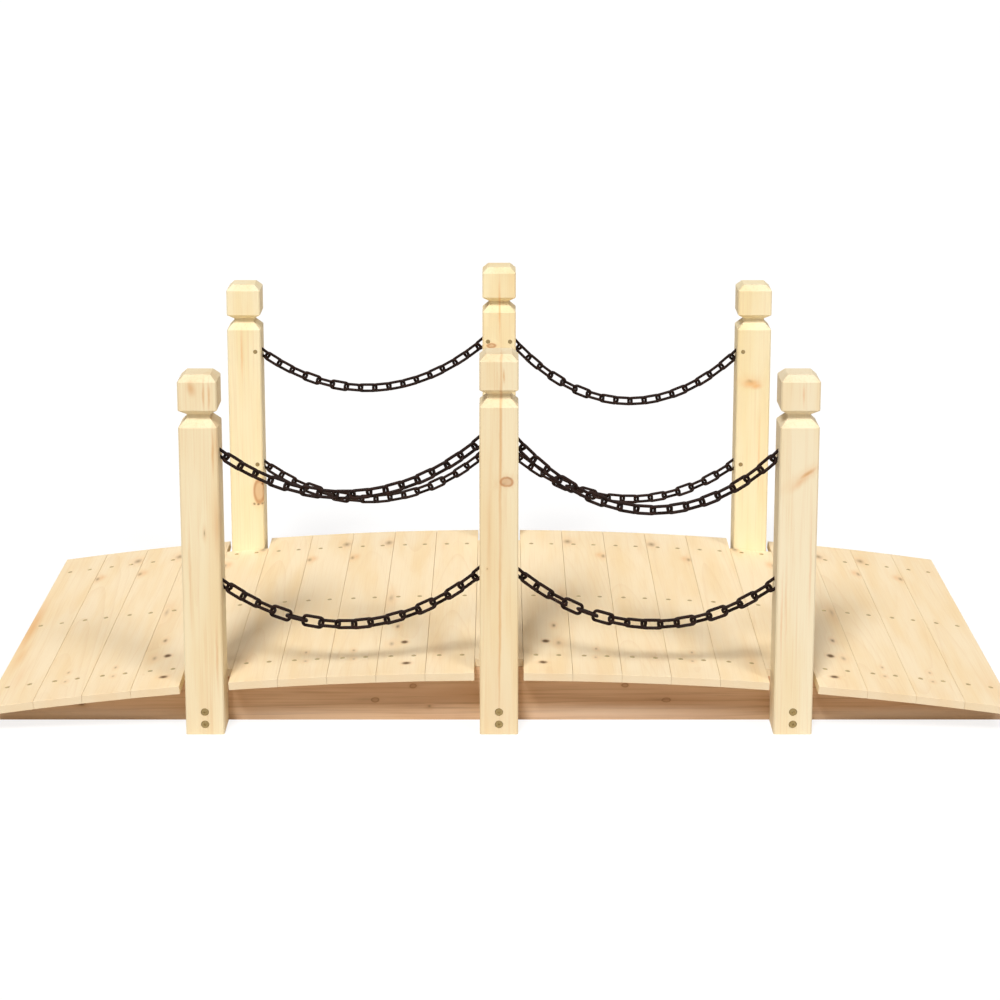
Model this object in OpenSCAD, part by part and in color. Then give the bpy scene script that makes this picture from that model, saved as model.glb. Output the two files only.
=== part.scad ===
// Arched wooden garden bridge. Three stringers with flat feet and curved tops carry a deck of
// cross boards. Three posts on each side stand in slots of the deck, and two rows of chain
// hang between them.
// Lengths are in millimetres. X runs along the walkway, Y across it, and Z is up from the ground.

/* [Stringers] */
// Length of the stringers, which the deck covers from end to end
stringer_length = 1500; // [1300:10:1800]
// Height of the stringers at the middle of the bridge
crown_height = 83; // [65:1:110]
// Height of the stringers at their ends
end_height = 29; // [20:1:45]
// Thickness of each stringer
stringer_t = 36; // [25:1:50]

/* [Deck] */
// Width of the deck, which is the length of its boards
deck_width = 670; // [560:10:900]
// Thickness of the boards
board_t = 12; // [9:0.5:18]
// Seam between neighbouring boards
board_seam = 0.3; // [0.2:0.1:3]
// Eased upper edges of the boards
board_ease = 0.4; // [0.3:0.1:3]
// Gap between the end of a short board and the post beside it
board_end_gap = 0.5; // [0.2:0.1:3]

/* [Posts] */
// Width of the square posts
post_w = 56; // [46:1:62]
// Length of the four outer posts
end_post_h = 540; // [530:1:640]
// Length of the two centre posts
centre_post_h = 570; // [555:1:670]
// Eased upright edges of the posts
post_ease = 2; // [0.5:0.1:4]
// Bevel round the top of the cap
cap_bevel = 9.5; // [4:0.5:14]
// Height of the upright faces of the cap
cap_face_h = 41; // [30:1:50]
// Height of the bevel under the cap
under_bevel_h = 8; // [4:0.5:12]
// Height of the neck below the cap
neck_h = 6; // [3:0.5:10]
// Depth of the neck behind the faces of the post
neck_inset = 11.5; // [6:0.5:15]
// Height of the bevelled shoulder under the neck
shoulder_h = 12; // [6:0.5:16]

/* [Post feet] */
// Diameter of the holes for the screws that hold a post to its stringer
foot_hole_d = 12; // [8:0.5:15]
// Depth of those holes
foot_hole_depth = 9; // [4:0.5:20]
// Height of the lower hole
foot_hole_low = 15.5; // [10:0.5:20]
// Distance from the lower hole to the upper one
foot_hole_gap = 19; // [16:0.5:26]

/* [Chains] */
// Thickness of the wire that the links are bent from
link_wire = 4.7; // [3.5:0.1:5]
// Length of the eye of a link
link_eye_l = 24.6; // [22:0.1:32]
// Width of the eye of a link
link_eye_w = 9.8; // [9:0.2:14]
// Inner radius of the four bends of a link
link_corner_r = 2.6; // [2:0.1:4]
// Play between two links that hang in each other
link_play = 0.4; // [0.2:0.1:1]
// Height of the ends of an upper chain over the deck
upper_chain_h = 350; // [280:1:360]
// Height of the ends of a lower chain over the deck
lower_chain_h = 153; // [120:1:200]
// Sag of the lower chains
lower_sag = 78; // [60:1:95]
// Sag of the upper chains on the left
upper_left_sag = 78; // [60:1:110]
// Sag of the upper chains on the right, which hang a link longer
upper_right_sag = 98; // [60:1:110]

/* [Chain nails] */
// Diameter of the nails that hold the ends of the chains in the posts
nail_d = 3.6; // [2.5:0.1:4.2]
// Length of a nail
nail_length = 42; // [36:1:50]
// Diameter of a nail's head
nail_head_d = 7; // [5:0.1:9]
// Thickness of a nail's head
nail_head_t = 1.2; // [0.8:0.1:2]

/* [Hidden] */
// Reach of every cut past the face that it starts from
overrun = 1;
// Play between the flat boards and the curved tops of the stringers
seat_gap = 0.1;
// Play round the end of a chain in its slot
slot_play = 0.3;
// Play round a nail in its hole
nail_play = 0.15;
// Facets of small round shapes and of the long arch
$fn = 32;
arch_facets = 720;

// The arch is part of a circle through the ends and the crown of the stringers
arch_rise = crown_height - end_height;
arch_r = (pow(stringer_length / 2, 2) + pow(arch_rise, 2)) / (2 * arch_rise);
arch_centre_z = crown_height - arch_r;

// The boards follow the arch at equal angles, and the posts stand in the slots of three of them
board_count = 21;
middle_board = (board_count + 1) / 2;
boards_per_bay = 6;
board_angle_step = 2 * asin(stringer_length / 2 / arch_r) / board_count;
board_w = 2 * arch_r * tan(board_angle_step / 2) - board_seam;
bay_angle = boards_per_bay * board_angle_step;
deck_r = arch_r + seat_gap + board_t;

// The posts stand flush with the deck's edge, against the outer faces of the outer stringers
post_y = deck_width / 2 - post_w / 2;
post_inner_y = deck_width / 2 - post_w;
outer_stringer_y = post_inner_y - stringer_t / 2;
short_board_l = 2 * (post_inner_y - board_end_gap);
bay_post_x = arch_r * sin(bay_angle);

// A chain runs from inside an outer post to inside the centre post
link_bend_r = link_corner_r + link_wire / 2;
link_side = link_eye_l - 2 * link_corner_r;
link_end = link_eye_w - 2 * link_corner_r;
link_pitch = link_eye_l - link_play;
embed_share = 0.45;
chain_inset = embed_share * link_pitch;
chain_start_x = -bay_post_x + post_w / 2 - chain_inset;
chain_end_x = -post_w / 2 + chain_inset;
chain_span = chain_end_x - chain_start_x;
chain_rise = deck_r * (1 - cos(bay_angle));
nail_offset = (link_play + nail_d) / 2;

// Neighbouring links stand at right angles, halfway over at the ends of a chain and a little less in
// between. A twist turns them one way in the left half of each chain, and partly back in the right one.
// Its lead sets how far along the chain it is strongest
link_cross_angle = 90;
end_roll = 45;
middle_roll = 31;
end_sharpness = 6;
lower_twist = 60;
upper_twist = 24;
twist_sharpness = 3;
twist_lead = 1.2;
link_middle_share = 0.5;

// The search for a catenary starts from a bracket of this many spans each way, and halves it this often
bracket_spans = 12;
bracket_rounds = 60;

SIDES = ["front", "rear"];
BAYS = ["left", "right"];
ROWS = ["lower", "upper"];
POSTS = ["left", "centre", "right"];
STRINGERS = ["front", "middle", "rear"];

function stringer_name(s) = str(STRINGERS[s], "_stringer");
function board_name(i) = str("deck_board_", i < 10 ? "0" : "", i);
function side_y(side) = (2 * side - 1) * post_y;
function post_name(side, p) = str(SIDES[side], "_", POSTS[p], "_post");
function chain_name(side, bay, row) = str(SIDES[side], "_", BAYS[bay], "_", ROWS[row], "_chain");

function sinh(v) = (exp(v) - exp(-v)) / 2;
function cosh(v) = (exp(v) + exp(-v)) / 2;
function asinh(v) = ln(v + sqrt(v * v + 1));
function atanh(v) = ln((1 + v) / (1 - v)) / 2;

// True where a board is cut short between two posts
function is_short(i) =
    let (from_middle = abs(i - middle_board))
    from_middle == 0 || from_middle == boards_per_bay;

function chain_sag(bay, row) = row == 0 ? lower_sag : bay == 0 ? upper_left_sag : upper_right_sag;
function chain_z(row) =
    let (chain_h = row == 0 ? lower_chain_h : upper_chain_h)
    arch_centre_z + deck_r * cos(bay_angle) + chain_h;

// Whole links nearest to the length of a chain with this sag
function link_count(sag) = round((chain_span + 8 * sag * sag / (3 * chain_span)) / link_pitch);

// Size of the catenary whose curve spans a bay, found by halving a bracket
function catenary_size(reach, low, high, rounds) =
    let (mid = (low + high) / 2)
    rounds == 0 ? mid
        : 2 * mid * sinh(chain_span / (2 * mid)) > reach ? catenary_size(reach, mid, high, rounds - 1)
        : catenary_size(reach, low, mid, rounds - 1);

// The points where the links of a chain meet, as [x, z] along a left bay, and its two ends
function chain_joints(bay, row) =
    let (
        count = link_count(chain_sag(bay, row)),
        length = count * link_pitch,
        reach = sqrt(length * length - chain_rise * chain_rise),
        a = catenary_size(reach, chain_span / bracket_spans, chain_span * bracket_spans, bracket_rounds),
        low_x = chain_span / 2 - a * atanh(chain_rise / length)
    )
    [for (i = [0 : count])
        let (v = asinh(i * link_pitch / a - sinh(low_x / a)))
        [
            chain_start_x + low_x + a * v,
            chain_z(row) + a * (cosh(v) - cosh(low_x / a))
        ]
    ];

function link_slope(joints, i) = atan2(joints[i + 1][1] - joints[i][1], joints[i + 1][0] - joints[i][0]);

// Lean of link i of a chain, which follows its place from the left in both bays
function link_roll(i, count, bay, row) =
    let (
        from_left = bay == 0 ? i : count - 1 - i,
        along = (from_left + link_middle_share) / count,
        lean = middle_roll + (end_roll - middle_roll) * pow(2 * along - 1, end_sharpness),
        most = row == 0 ? lower_twist : upper_twist,
        twist = most * (1 - along) * pow(sin(360 * pow(along, twist_lead)), twist_sharpness)
    )
    from_left % 2 == 0 ? lean - twist : lean - twist - link_cross_angle;

// Outline of a post from one side: foot, shoulder, neck and cap
function post_outline(h) =
    let (
        w = post_w / 2,
        neck_w = w - neck_inset,
        cap_top = h - cap_bevel,
        cap_low = cap_top - cap_face_h,
        neck_top = cap_low - under_bevel_h,
        neck_low = neck_top - neck_h,
        shoulder_low = neck_low - shoulder_h,
        right = [
            [w, 0],
            [w, shoulder_low],
            [neck_w, neck_low],
            [neck_w, neck_top],
            [w, cap_low],
            [w, cap_top],
            [w - cap_bevel, h]
        ]
    )
    concat(right, [for (i = [len(right) - 1 : -1 : 0]) [-right[i][0], right[i][1]]]);

// A left bay stays where it is, and a right bay is its mirror image
module in_bay(bay) {
    mirror([bay, 0, 0])
        children();
}

// Moves a shape that lies along X, upright, to link i of a chain
module at_link(joints, i, side, bay, row) {
    centre = (joints[i] + joints[i + 1]) / 2;
    translate([centre[0], side_y(side), centre[1]])
        rotate([0, -link_slope(joints, i), 0])
            rotate([link_roll(i, len(joints) - 1, bay, row), 0, 0])
                children();
}

// One welded link: four bends with two long bars and two short ones between them
module link() {
    side_y = (link_eye_w + link_wire) / 2;
    end_x = (link_eye_l + link_wire) / 2;
    rotate([90, 0, 0])
        for (way = [-1, 1]) {
            for (corner = [0, 1])
                mirror([corner, 0, 0])
                    translate([way * link_side / 2, way * link_end / 2, 0])
                        rotate([0, 0, way > 0 ? 0 : 180])
                            rotate_extrude(angle = 90)
                                translate([link_bend_r, 0])
                                    circle(d = link_wire);
            translate([-link_side / 2, way * side_y, 0])
                rotate([0, 90, 0])
                    cylinder(d = link_wire, h = link_side);
            translate([way * end_x, link_end / 2, 0])
                rotate([90, 0, 0])
                    cylinder(d = link_wire, h = link_end);
        }
}

// Slot that takes one end of a link, open towards +X
module link_slot() {
    slot_w = link_eye_w + 2 * link_wire + 2 * slot_play;
    slot_t = link_wire + 2 * slot_play;
    slot_reach = link_eye_l / 2 + link_wire + slot_play;
    rotate([90, 0, 0])
        translate([-slot_reach, -slot_w / 2, -slot_t / 2])
            cube([2 * slot_reach, slot_w, slot_t]);
}

// Nail from the inner face of a post outwards, made larger by its play where it is a hole
module nail(joints, side, last, play, start) {
    from = last ? joints[len(joints) - 1] : joints[0];
    slope = link_slope(joints, last ? len(joints) - 2 : 0);
    reach = last ? -nail_offset : nail_offset;
    mirror([0, side, 0])
        translate([from[0] + reach * cos(slope), -post_inner_y + start, from[1] + reach * sin(slope)])
            rotate([90, 0, 0]) {
                cylinder(d = nail_d + 2 * play, h = nail_length + play + start);
                cylinder(d = nail_head_d + 2 * play, h = nail_head_t + play + start);
            }
}

// What a chain's end takes out of a post: slots for its last two links and a hole for its nail
module chain_end_cut(side, bay, row, last) {
    joints = chain_joints(bay, row);
    count = len(joints) - 1;
    for (i = [0, 1])
        if (last)
            at_link(joints, count - 1 - i, side, bay, row)
                mirror([1, 0, 0])
                    link_slot();
        else
            at_link(joints, i, side, bay, row)
                link_slot();
    nail(joints, side, last, nail_play, overrun);
}

module stringer(s) {
    color("#d9b68a")
        translate([0, (s - 1) * outer_stringer_y, 0])
            intersection() {
                translate([-stringer_length / 2, -stringer_t / 2, 0])
                    cube([stringer_length, stringer_t, crown_height]);
                translate([0, stringer_t / 2 + overrun, arch_centre_z])
                    rotate([90, 0, 0])
                        cylinder(r = arch_r, h = stringer_t + 2 * overrun, $fn = arch_facets);
            }
}

module deck_board(i) {
    board_l = is_short(i) ? short_board_l : deck_width;
    w = board_w / 2;
    color("#f5e2bb")
        translate([0, 0, arch_centre_z])
            rotate([0, (i - middle_board) * board_angle_step, 0])
                translate([0, board_l / 2, arch_r + seat_gap])
                    rotate([90, 0, 0])
                        linear_extrude(board_l)
                            polygon([
                                [-w, 0],
                                [w, 0],
                                [w, board_t - board_ease],
                                [w - board_ease, board_t],
                                [board_ease - w, board_t],
                                [-w, board_t - board_ease]
                            ]);
}

// Square post with its cap, the same from all four sides
module post_body(h) {
    w = post_w / 2;
    e = w - post_ease;
    intersection() {
        linear_extrude(h)
            polygon([[w, -e], [w, e], [e, w], [-e, w], [-w, e], [-w, -e], [-e, -w], [e, -w]]);
        for_both_ways()
            linear_extrude(post_w + 2 * overrun, center = true)
                polygon(post_outline(h));
    }
}

// A shape drawn upright in the X-Z plane, kept only where its quarter turn covers it too
module for_both_ways() {
    intersection_for (turn = [0, 90])
        rotate([90, 0, turn])
            children();
}

module post(side, p) {
    color("#f2dcb0")
        difference() {
            translate([(p - 1) * bay_post_x, side_y(side), 0])
                mirror([0, side, 0])
                    difference() {
                        post_body(p == 1 ? centre_post_h : end_post_h);
                        for (i = [0, 1])
                            translate([0, -post_w / 2 - overrun, foot_hole_low + i * foot_hole_gap])
                                rotate([-90, 0, 0])
                                    cylinder(d = foot_hole_d, h = foot_hole_depth + overrun);
                    }
            for (bay = p == 1 ? [0, 1] : [p / 2], row = [0, 1])
                in_bay(bay)
                    chain_end_cut(side, bay, row, p == 1);
        }
}

module chain(side, bay, row) {
    joints = chain_joints(bay, row);
    color("#2e211b")
        in_bay(bay)
            for (i = [0 : len(joints) - 2])
                at_link(joints, i, side, bay, row)
                    link();
}

module chain_nails() {
    color("#8d867a")
        for (side = [0, 1], bay = [0, 1], row = [0, 1], last = [false, true])
            in_bay(bay)
                nail(chain_joints(bay, row), side, last, 0, 0);
}

for (s = [0 : 2])
    stringer(s);
for (i = [1 : board_count])
    deck_board(i);
for (side = [0 : 1], p = [0 : 2])
    post(side, p);
for (side = [0 : 1], bay = [0 : 1], row = [0 : 1])
    chain(side, bay, row);
chain_nails();
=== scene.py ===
"""Dresses a wooden garden bridge: planed spruce timber, coated chain, sunk screws, and a plain studio.

Lengths are metres unless a name or comment says millimetres. The bridge runs along X, its front is at -Y.
"""

import logging
import math
import random
from dataclasses import dataclass, field, replace
from enum import Enum
from typing import Any, NamedTuple

import bmesh
import bpy
from mathutils import Matrix, Vector


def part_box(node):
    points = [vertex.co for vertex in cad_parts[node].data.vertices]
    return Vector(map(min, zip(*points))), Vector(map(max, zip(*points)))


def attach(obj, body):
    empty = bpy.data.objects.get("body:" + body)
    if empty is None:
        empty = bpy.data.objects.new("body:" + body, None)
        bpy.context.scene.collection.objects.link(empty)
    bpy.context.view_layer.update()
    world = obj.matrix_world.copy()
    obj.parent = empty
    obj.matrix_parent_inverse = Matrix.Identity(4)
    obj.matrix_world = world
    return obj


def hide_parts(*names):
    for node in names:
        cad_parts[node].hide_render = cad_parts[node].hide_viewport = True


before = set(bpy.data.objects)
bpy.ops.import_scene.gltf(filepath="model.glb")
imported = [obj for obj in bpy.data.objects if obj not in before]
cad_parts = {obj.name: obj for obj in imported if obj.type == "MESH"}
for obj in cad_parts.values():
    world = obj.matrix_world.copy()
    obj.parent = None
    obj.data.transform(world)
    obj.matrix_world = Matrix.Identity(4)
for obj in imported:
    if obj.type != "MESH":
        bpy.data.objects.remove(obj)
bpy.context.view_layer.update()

LOG = logging.getLogger("garden_bridge")
BODY = "root"
MM = 0.001
PER_M = 1000.0
WHITE = "#FFFFFF"
# Vertices of a board that lie nearer to each other than this become one.
MERGE = 1e-7
# Where a timber has no knot of a kind, it counts as this many radii away from one.
NO_KNOT = 9.0
# What an input of a node takes. A node stands for its first output.
Source = bpy.types.Node | bpy.types.NodeSocket | float | Vector | tuple[float, ...]


def linear(code: str, alpha: float = 1.0) -> tuple[float, float, float, float]:
    """Turns an sRGB hex colour into linear light.

    Args:
        code: Six hex digits after a hash sign.
        alpha: Opacity of the colour.

    Returns:
        The colour as linear red, green, blue and alpha.
    """
    parts = [int(code[i : i + 2], 16) / 255 for i in (1, 3, 5)]
    light = [p / 12.92 if p <= 0.04045 else ((p + 0.055) / 1.055) ** 2.4 for p in parts]
    return (*light, alpha)


class Graph:
    """The node tree of a material or a world."""

    def __init__(self, owner: bpy.types.Material | bpy.types.World) -> None:
        """Starts with an empty tree.

        Args:
            owner: The material or world that the tree belongs to.
        """
        owner.use_nodes = True
        self.tree = owner.node_tree
        self.tree.nodes.clear()

    def add(
        self, kind: str, inputs: dict[int | str, Source] | None = None, **settings: Any
    ) -> bpy.types.Node:
        """Adds one node with its settings and links.

        Args:
            kind: The node's type.
            inputs: What each input takes, by its name or place.
            **settings: The node's own properties.

        Returns:
            The new node.
        """
        node = self.tree.nodes.new(kind)
        for name, value in settings.items():
            setattr(node, name, value)
        for key, value in (inputs or {}).items():
            named = [s for s in node.inputs if s.enabled and s.name == key]
            socket = named[0] if named else node.inputs[key]
            if isinstance(value, bpy.types.Node):
                value = next(s for s in value.outputs if s.enabled)
            if isinstance(value, bpy.types.NodeSocket):
                self.tree.links.new(value, socket)
            else:
                socket.default_value = value
        return node


def dress(piece: bpy.types.Object, material: bpy.types.Material) -> None:
    """Gives a piece one material all over, in each slot that it has.

    Args:
        piece: The piece.
        material: Its material.
    """
    if not piece.data.materials:
        piece.data.materials.append(material)
    for index in range(len(piece.data.materials)):
        piece.material_slots[index].material = material


def dress_node(name: str, material: bpy.types.Material) -> None:
    """Dresses a CAD node and reports it."""
    dress(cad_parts[name], material)
    LOG.info("%s: dressed", name)


def new_object(name: str, data: bpy.types.ID) -> bpy.types.Object:
    """Puts an object into the scene, at the origin.

    Args:
        name: The object's name.
        data: Its mesh, light or camera.

    Returns:
        The new object.
    """
    thing = bpy.data.objects.new(name, data)
    bpy.context.scene.collection.objects.link(thing)
    return thing


def mesh_object(name: str, shape: bmesh.types.BMesh) -> bpy.types.Object:
    """Puts a finished mesh into the scene.

    Args:
        name: The object's name.
        shape: Its mesh, in place, which is freed here.

    Returns:
        The new object.
    """
    mesh = bpy.data.meshes.new(name)
    shape.to_mesh(mesh)
    shape.free()
    return new_object(name, mesh)


def new_piece(
    name: str, shape: bmesh.types.BMesh, material: bpy.types.Material
) -> bpy.types.Object:
    """Makes a finished mesh a piece of the bridge.

    Args:
        name: The piece's name.
        shape: Its mesh, in place, which is freed here.
        material: What it is dressed with.

    Returns:
        The new object, at the origin.
    """
    piece = mesh_object(name, shape)
    dress(piece, material)
    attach(piece, BODY)
    LOG.info("%s: %d faces", name, len(piece.data.polygons))
    return piece


def edges_of(ring: list[bmesh.types.BMVert]) -> list[bmesh.types.BMEdge]:
    """The edges of a loose ring of vertices, each once and in order."""
    return list(dict.fromkeys(edge for vert in ring for edge in vert.link_edges))


def draw_wall(
    shape: bmesh.types.BMesh,
    edges: list[bmesh.types.BMEdge],
    widen: tuple[float, float],
    rise: float,
    place: Matrix,
) -> list[bmesh.types.BMEdge]:
    """Draws a wall from a loop of edges.

    Args:
        shape: The mesh.
        edges: The loop.
        widen: How many times wider the wall's far loop is, in X and Y.
        rise: How far up that loop lies.
        place: The axes in which X, Y and up are measured.

    Returns:
        The far loop.
    """
    made = bmesh.ops.extrude_edge_only(shape, edges=edges)["geom"]
    verts = [v for v in made if isinstance(v, bmesh.types.BMVert)]
    change = Matrix.Translation((0, 0, rise)) @ Matrix.Diagonal((*widen, 1, 1))
    bmesh.ops.transform(shape, verts=verts, matrix=place @ change @ place.inverted())
    return [e for e in made if isinstance(e, bmesh.types.BMEdge) and all(v in verts for v in e.verts)]


@dataclass(frozen=True)
class Arch:
    """The circle that the deck follows, found from the CAD boards.

    Attributes:
        centre_z: Height of the circle's centre, far under the ground.
        radius: From that centre to the top of the boards.
        step: Angle from one board to the next.
        count: How many boards the deck has.
    """

    centre_z: float
    radius: float
    step: float
    count: int

    @classmethod
    def of_boards(cls, names: list[str]) -> "Arch":
        """Fits the circle through the middles of the crown board and an end board.

        Args:
            names: The boards from one end of the deck to the other.

        Returns:
            The deck's arch.
        """
        low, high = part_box(names[len(names) // 2])
        crown = (low + high) / 2
        end_low, end_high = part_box(names[-1])
        end = (end_low + end_high) / 2
        centre = (crown.z**2 - end.x**2 - end.z**2) / (2 * (crown.z - end.z))
        step = math.atan2(end.x, end.z - centre) / (len(names) // 2)
        return cls(centre, high.z - centre, step, len(names))

    def seat(self, number: int) -> Matrix:
        """The place of a board's top middle: X along the deck, Y across it and Z out of its face."""
        turn = Matrix.Rotation(number * self.step, 4, "Y")
        return Matrix.Translation((0, 0, self.centre_z)) @ turn @ Matrix.Translation((0, 0, self.radius))


class KnotKind(Enum):
    """What became of the branch that a knot is a cut of, or what else colours a spot of the wood."""

    LIVE = "live"
    DEAD = "dead"
    STAIN = "stain"
    # Painted light: a pale streak that lightens the wood where it lies, as more light falling there would.
    PAINTED_LIGHT = "pale"


@dataclass(frozen=True)
class Knot:
    """One knot, stain or pale streak, as an ellipsoid in the timber. All its sizes are millimetres.

    Attributes:
        across: Place across the grain, on the face.
        along: Place along the grain.
        wide: Radius across the grain.
        long: Radius along the grain.
        kind: Live knots are orange, dead ones dark brown, a stain tints, and a pale streak is painted light
            that lightens the wood.
        through: Place in the piece's depth.
        deep: Radius in the piece's depth.
        tone: How strongly it shows, from 0 to 1.
        lean: Degrees that it leans from the grain on the face.
    """

    across: float
    along: float
    wide: float
    long: float
    kind: KnotKind = KnotKind.LIVE
    through: float = 0.0
    deep: float = 60.0
    tone: float = 1.0
    lean: float = 0.0


@dataclass(frozen=True)
class Cut:
    """How a piece was sawn from its log. Sizes are millimetres.

    Attributes:
        pith_across: Where the log's heart lies across the face.
        pith_depth: How far under the face the heart lies.
        scatter: How much that place differs from piece to piece.
        runout: How far the rings run out of the face in a millimetre along the grain.
        knots: The knots and stains that show on it.
    """

    pith_across: float
    pith_depth: float
    scatter: float
    runout: float
    knots: tuple[Knot, ...] = ()


class BoardFigure(Enum):
    """The figure of a deck board's face."""

    KNOTTED = "knotted"
    EDGE_KNOTS = "edge_knots"
    FLAME = "flame"
    HEART = "heart"


class Grain(NamedTuple):
    """What a timber's pattern is drawn from, as sockets of its tree.

    Attributes:
        place: Across, through and along the grain from the piece's middle, in millimetres.
        knot_place: The same, in the space that the piece's knots are listed in.
        seed: A number of its own for each piece.
        end: How squarely a face cuts the grain, from 0 to 1.
    """

    place: bpy.types.NodeSocket
    knot_place: bpy.types.NodeSocket
    seed: bpy.types.NodeSocket
    end: bpy.types.NodeSocket


class Lie:
    """How the grain lies in a kind of piece.

    Attributes:
        along_axis: The axis that the grain follows.
        end_starts: How squarely a face cuts the grain where it starts to look like end grain.
        end_full: How squarely it does so where it is all end grain.
    """

    along_axis: str
    end_starts = 0.75
    end_full = 0.95

    def millimetres(self, g: Graph) -> bpy.types.Node:
        """The object's own coordinates, in millimetres."""
        place = g.add("ShaderNodeTexCoord").outputs["Object"]
        return g.add("ShaderNodeVectorMath", {0: place, "Scale": PER_M}, operation="SCALE")

    def end_share(self, g: Graph) -> bpy.types.NodeSocket:
        """Measures how much of a face is end grain.

        Args:
            g: The material's tree.

        Returns:
            A socket whose value goes from 0 on a side face to 1 on an end face.
        """
        normal = g.add("ShaderNodeNewGeometry").outputs["True Normal"]
        facing = g.add("ShaderNodeSeparateXYZ", {0: normal}).outputs[self.along_axis]
        size = g.add("ShaderNodeMath", {0: facing}, operation="ABSOLUTE")
        return g.add(
            "ShaderNodeMapRange",
            {"Value": size, "From Min": self.end_starts, "From Max": self.end_full},
            interpolation_type="SMOOTHSTEP",
        ).outputs[0]

    def grain(self, g: Graph) -> Grain:
        """Adds the nodes that turn the object's coordinates into the piece's own."""
        raise NotImplementedError


@dataclass(frozen=True)
class BoardLie(Lie):
    """Deck boards: the grain runs across the walkway, and the boards lie round the arch.

    Attributes:
        arch: The circle that the boards follow.
    """

    arch: Arch
    along_axis = "Y"

    def grain(self, g: Graph) -> Grain:
        """Finds each board by its angle on the arch, and mirrors the knots of the left half.

        Args:
            g: The material's tree.

        Returns:
            The sockets of the boards' grain.
        """
        mm = self.millimetres(g)
        xyz = g.add("ShaderNodeSeparateXYZ", {0: mm}).outputs
        height = g.add("ShaderNodeMath", {0: xyz["Z"], 1: self.arch.centre_z * PER_M}, operation="SUBTRACT")
        angle = g.add("ShaderNodeMath", {0: xyz["X"], 1: height}, operation="ARCTAN2")
        share = g.add("ShaderNodeMath", {0: angle, 1: self.arch.step}, operation="DIVIDE")
        number = g.add("ShaderNodeMath", {0: share}, operation="ROUND")
        left_over = g.add("ShaderNodeMath", {0: share, 1: number}, operation="SUBTRACT")
        pitch = self.arch.step * self.arch.radius * PER_M
        across = g.add("ShaderNodeMath", {0: left_over, 1: pitch}, operation="MULTIPLY")
        out = g.add("ShaderNodeCombineXYZ", {"X": xyz["X"], "Z": height})
        reach = g.add("ShaderNodeVectorMath", {0: out}, operation="LENGTH").outputs["Value"]
        through = g.add("ShaderNodeMath", {0: reach, 1: self.arch.radius * PER_M}, operation="SUBTRACT")
        place = g.add("ShaderNodeCombineXYZ", {"X": across, "Y": through, "Z": xyz["Y"]}).outputs[0]
        # Half a board is added, so that the crown board counts as one of the right half.
        beside = g.add("ShaderNodeMath", {0: number, 1: 0.5}, operation="ADD")
        half = g.add("ShaderNodeMath", {0: beside}, operation="SIGN")
        mirrored = g.add("ShaderNodeMath", {0: across, 1: half}, operation="MULTIPLY")
        knot_place = g.add("ShaderNodeCombineXYZ", {"X": mirrored, "Y": through, "Z": xyz["Y"]}).outputs[0]
        return Grain(place, knot_place, number.outputs[0], self.end_share(g))


@dataclass(frozen=True)
class PostLie(Lie):
    """One post: the grain stands upright.

    Attributes:
        middle: The middle of the post's foot.
        half: From there to the post's front face, which its knots are measured from.
        seed: The post's own number.
    """

    middle: Vector
    half: float
    seed: float
    along_axis = "Z"

    def grain(self, g: Graph) -> Grain:
        """Measures from the middle of the post's foot.

        Args:
            g: The material's tree.

        Returns:
            The sockets of the post's grain.
        """
        mm = self.millimetres(g)
        place = g.add("ShaderNodeVectorMath", {0: mm, 1: -self.middle * PER_M}, operation="ADD").outputs[0]
        to_face = Vector((0, self.half * PER_M, 0))
        knot_place = g.add("ShaderNodeVectorMath", {0: place, 1: to_face}, operation="ADD").outputs[0]
        seed = g.add("ShaderNodeValue").outputs[0]
        seed.default_value = self.seed
        return Grain(place, knot_place, seed, self.end_share(g))


@dataclass(frozen=True)
class StringerLie(Lie):
    """Stringers: the grain runs along the walkway.

    Attributes:
        spacing: From stringer to stringer.
        middle_seed: The middle stringer's own number, past those of the boards.
    """

    spacing: float
    middle_seed: float = 20.0
    along_axis = "X"

    def grain(self, g: Graph) -> Grain:
        """Finds each stringer by its place across the deck.

        Args:
            g: The material's tree.

        Returns:
            The sockets of the stringers' grain.
        """
        mm = self.millimetres(g)
        xyz = g.add("ShaderNodeSeparateXYZ", {0: mm}).outputs
        spacing = self.spacing * PER_M
        share = g.add("ShaderNodeMath", {0: xyz["Y"], 1: spacing}, operation="DIVIDE")
        number = g.add("ShaderNodeMath", {0: share}, operation="ROUND")
        through = g.add("ShaderNodeMath", {0: number, 1: -spacing, 2: xyz["Y"]}, operation="MULTIPLY_ADD")
        place = g.add("ShaderNodeCombineXYZ", {"X": xyz["Z"], "Y": through, "Z": xyz["X"]}).outputs[0]
        seed = g.add("ShaderNodeMath", {0: number, 1: self.middle_seed}, operation="ADD")
        return Grain(place, place, seed.outputs[0], self.end_share(g))


class Tint(NamedTuple):
    """One tint over the wood below it.

    Attributes:
        value: What the tint follows.
        none: The value at which it starts to show.
        full: The value at which it shows most.
        share: How much it covers there, from 0 to 1.
        colour: Its colour.
    """

    value: Source
    none: float
    full: float
    share: float
    colour: str


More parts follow.
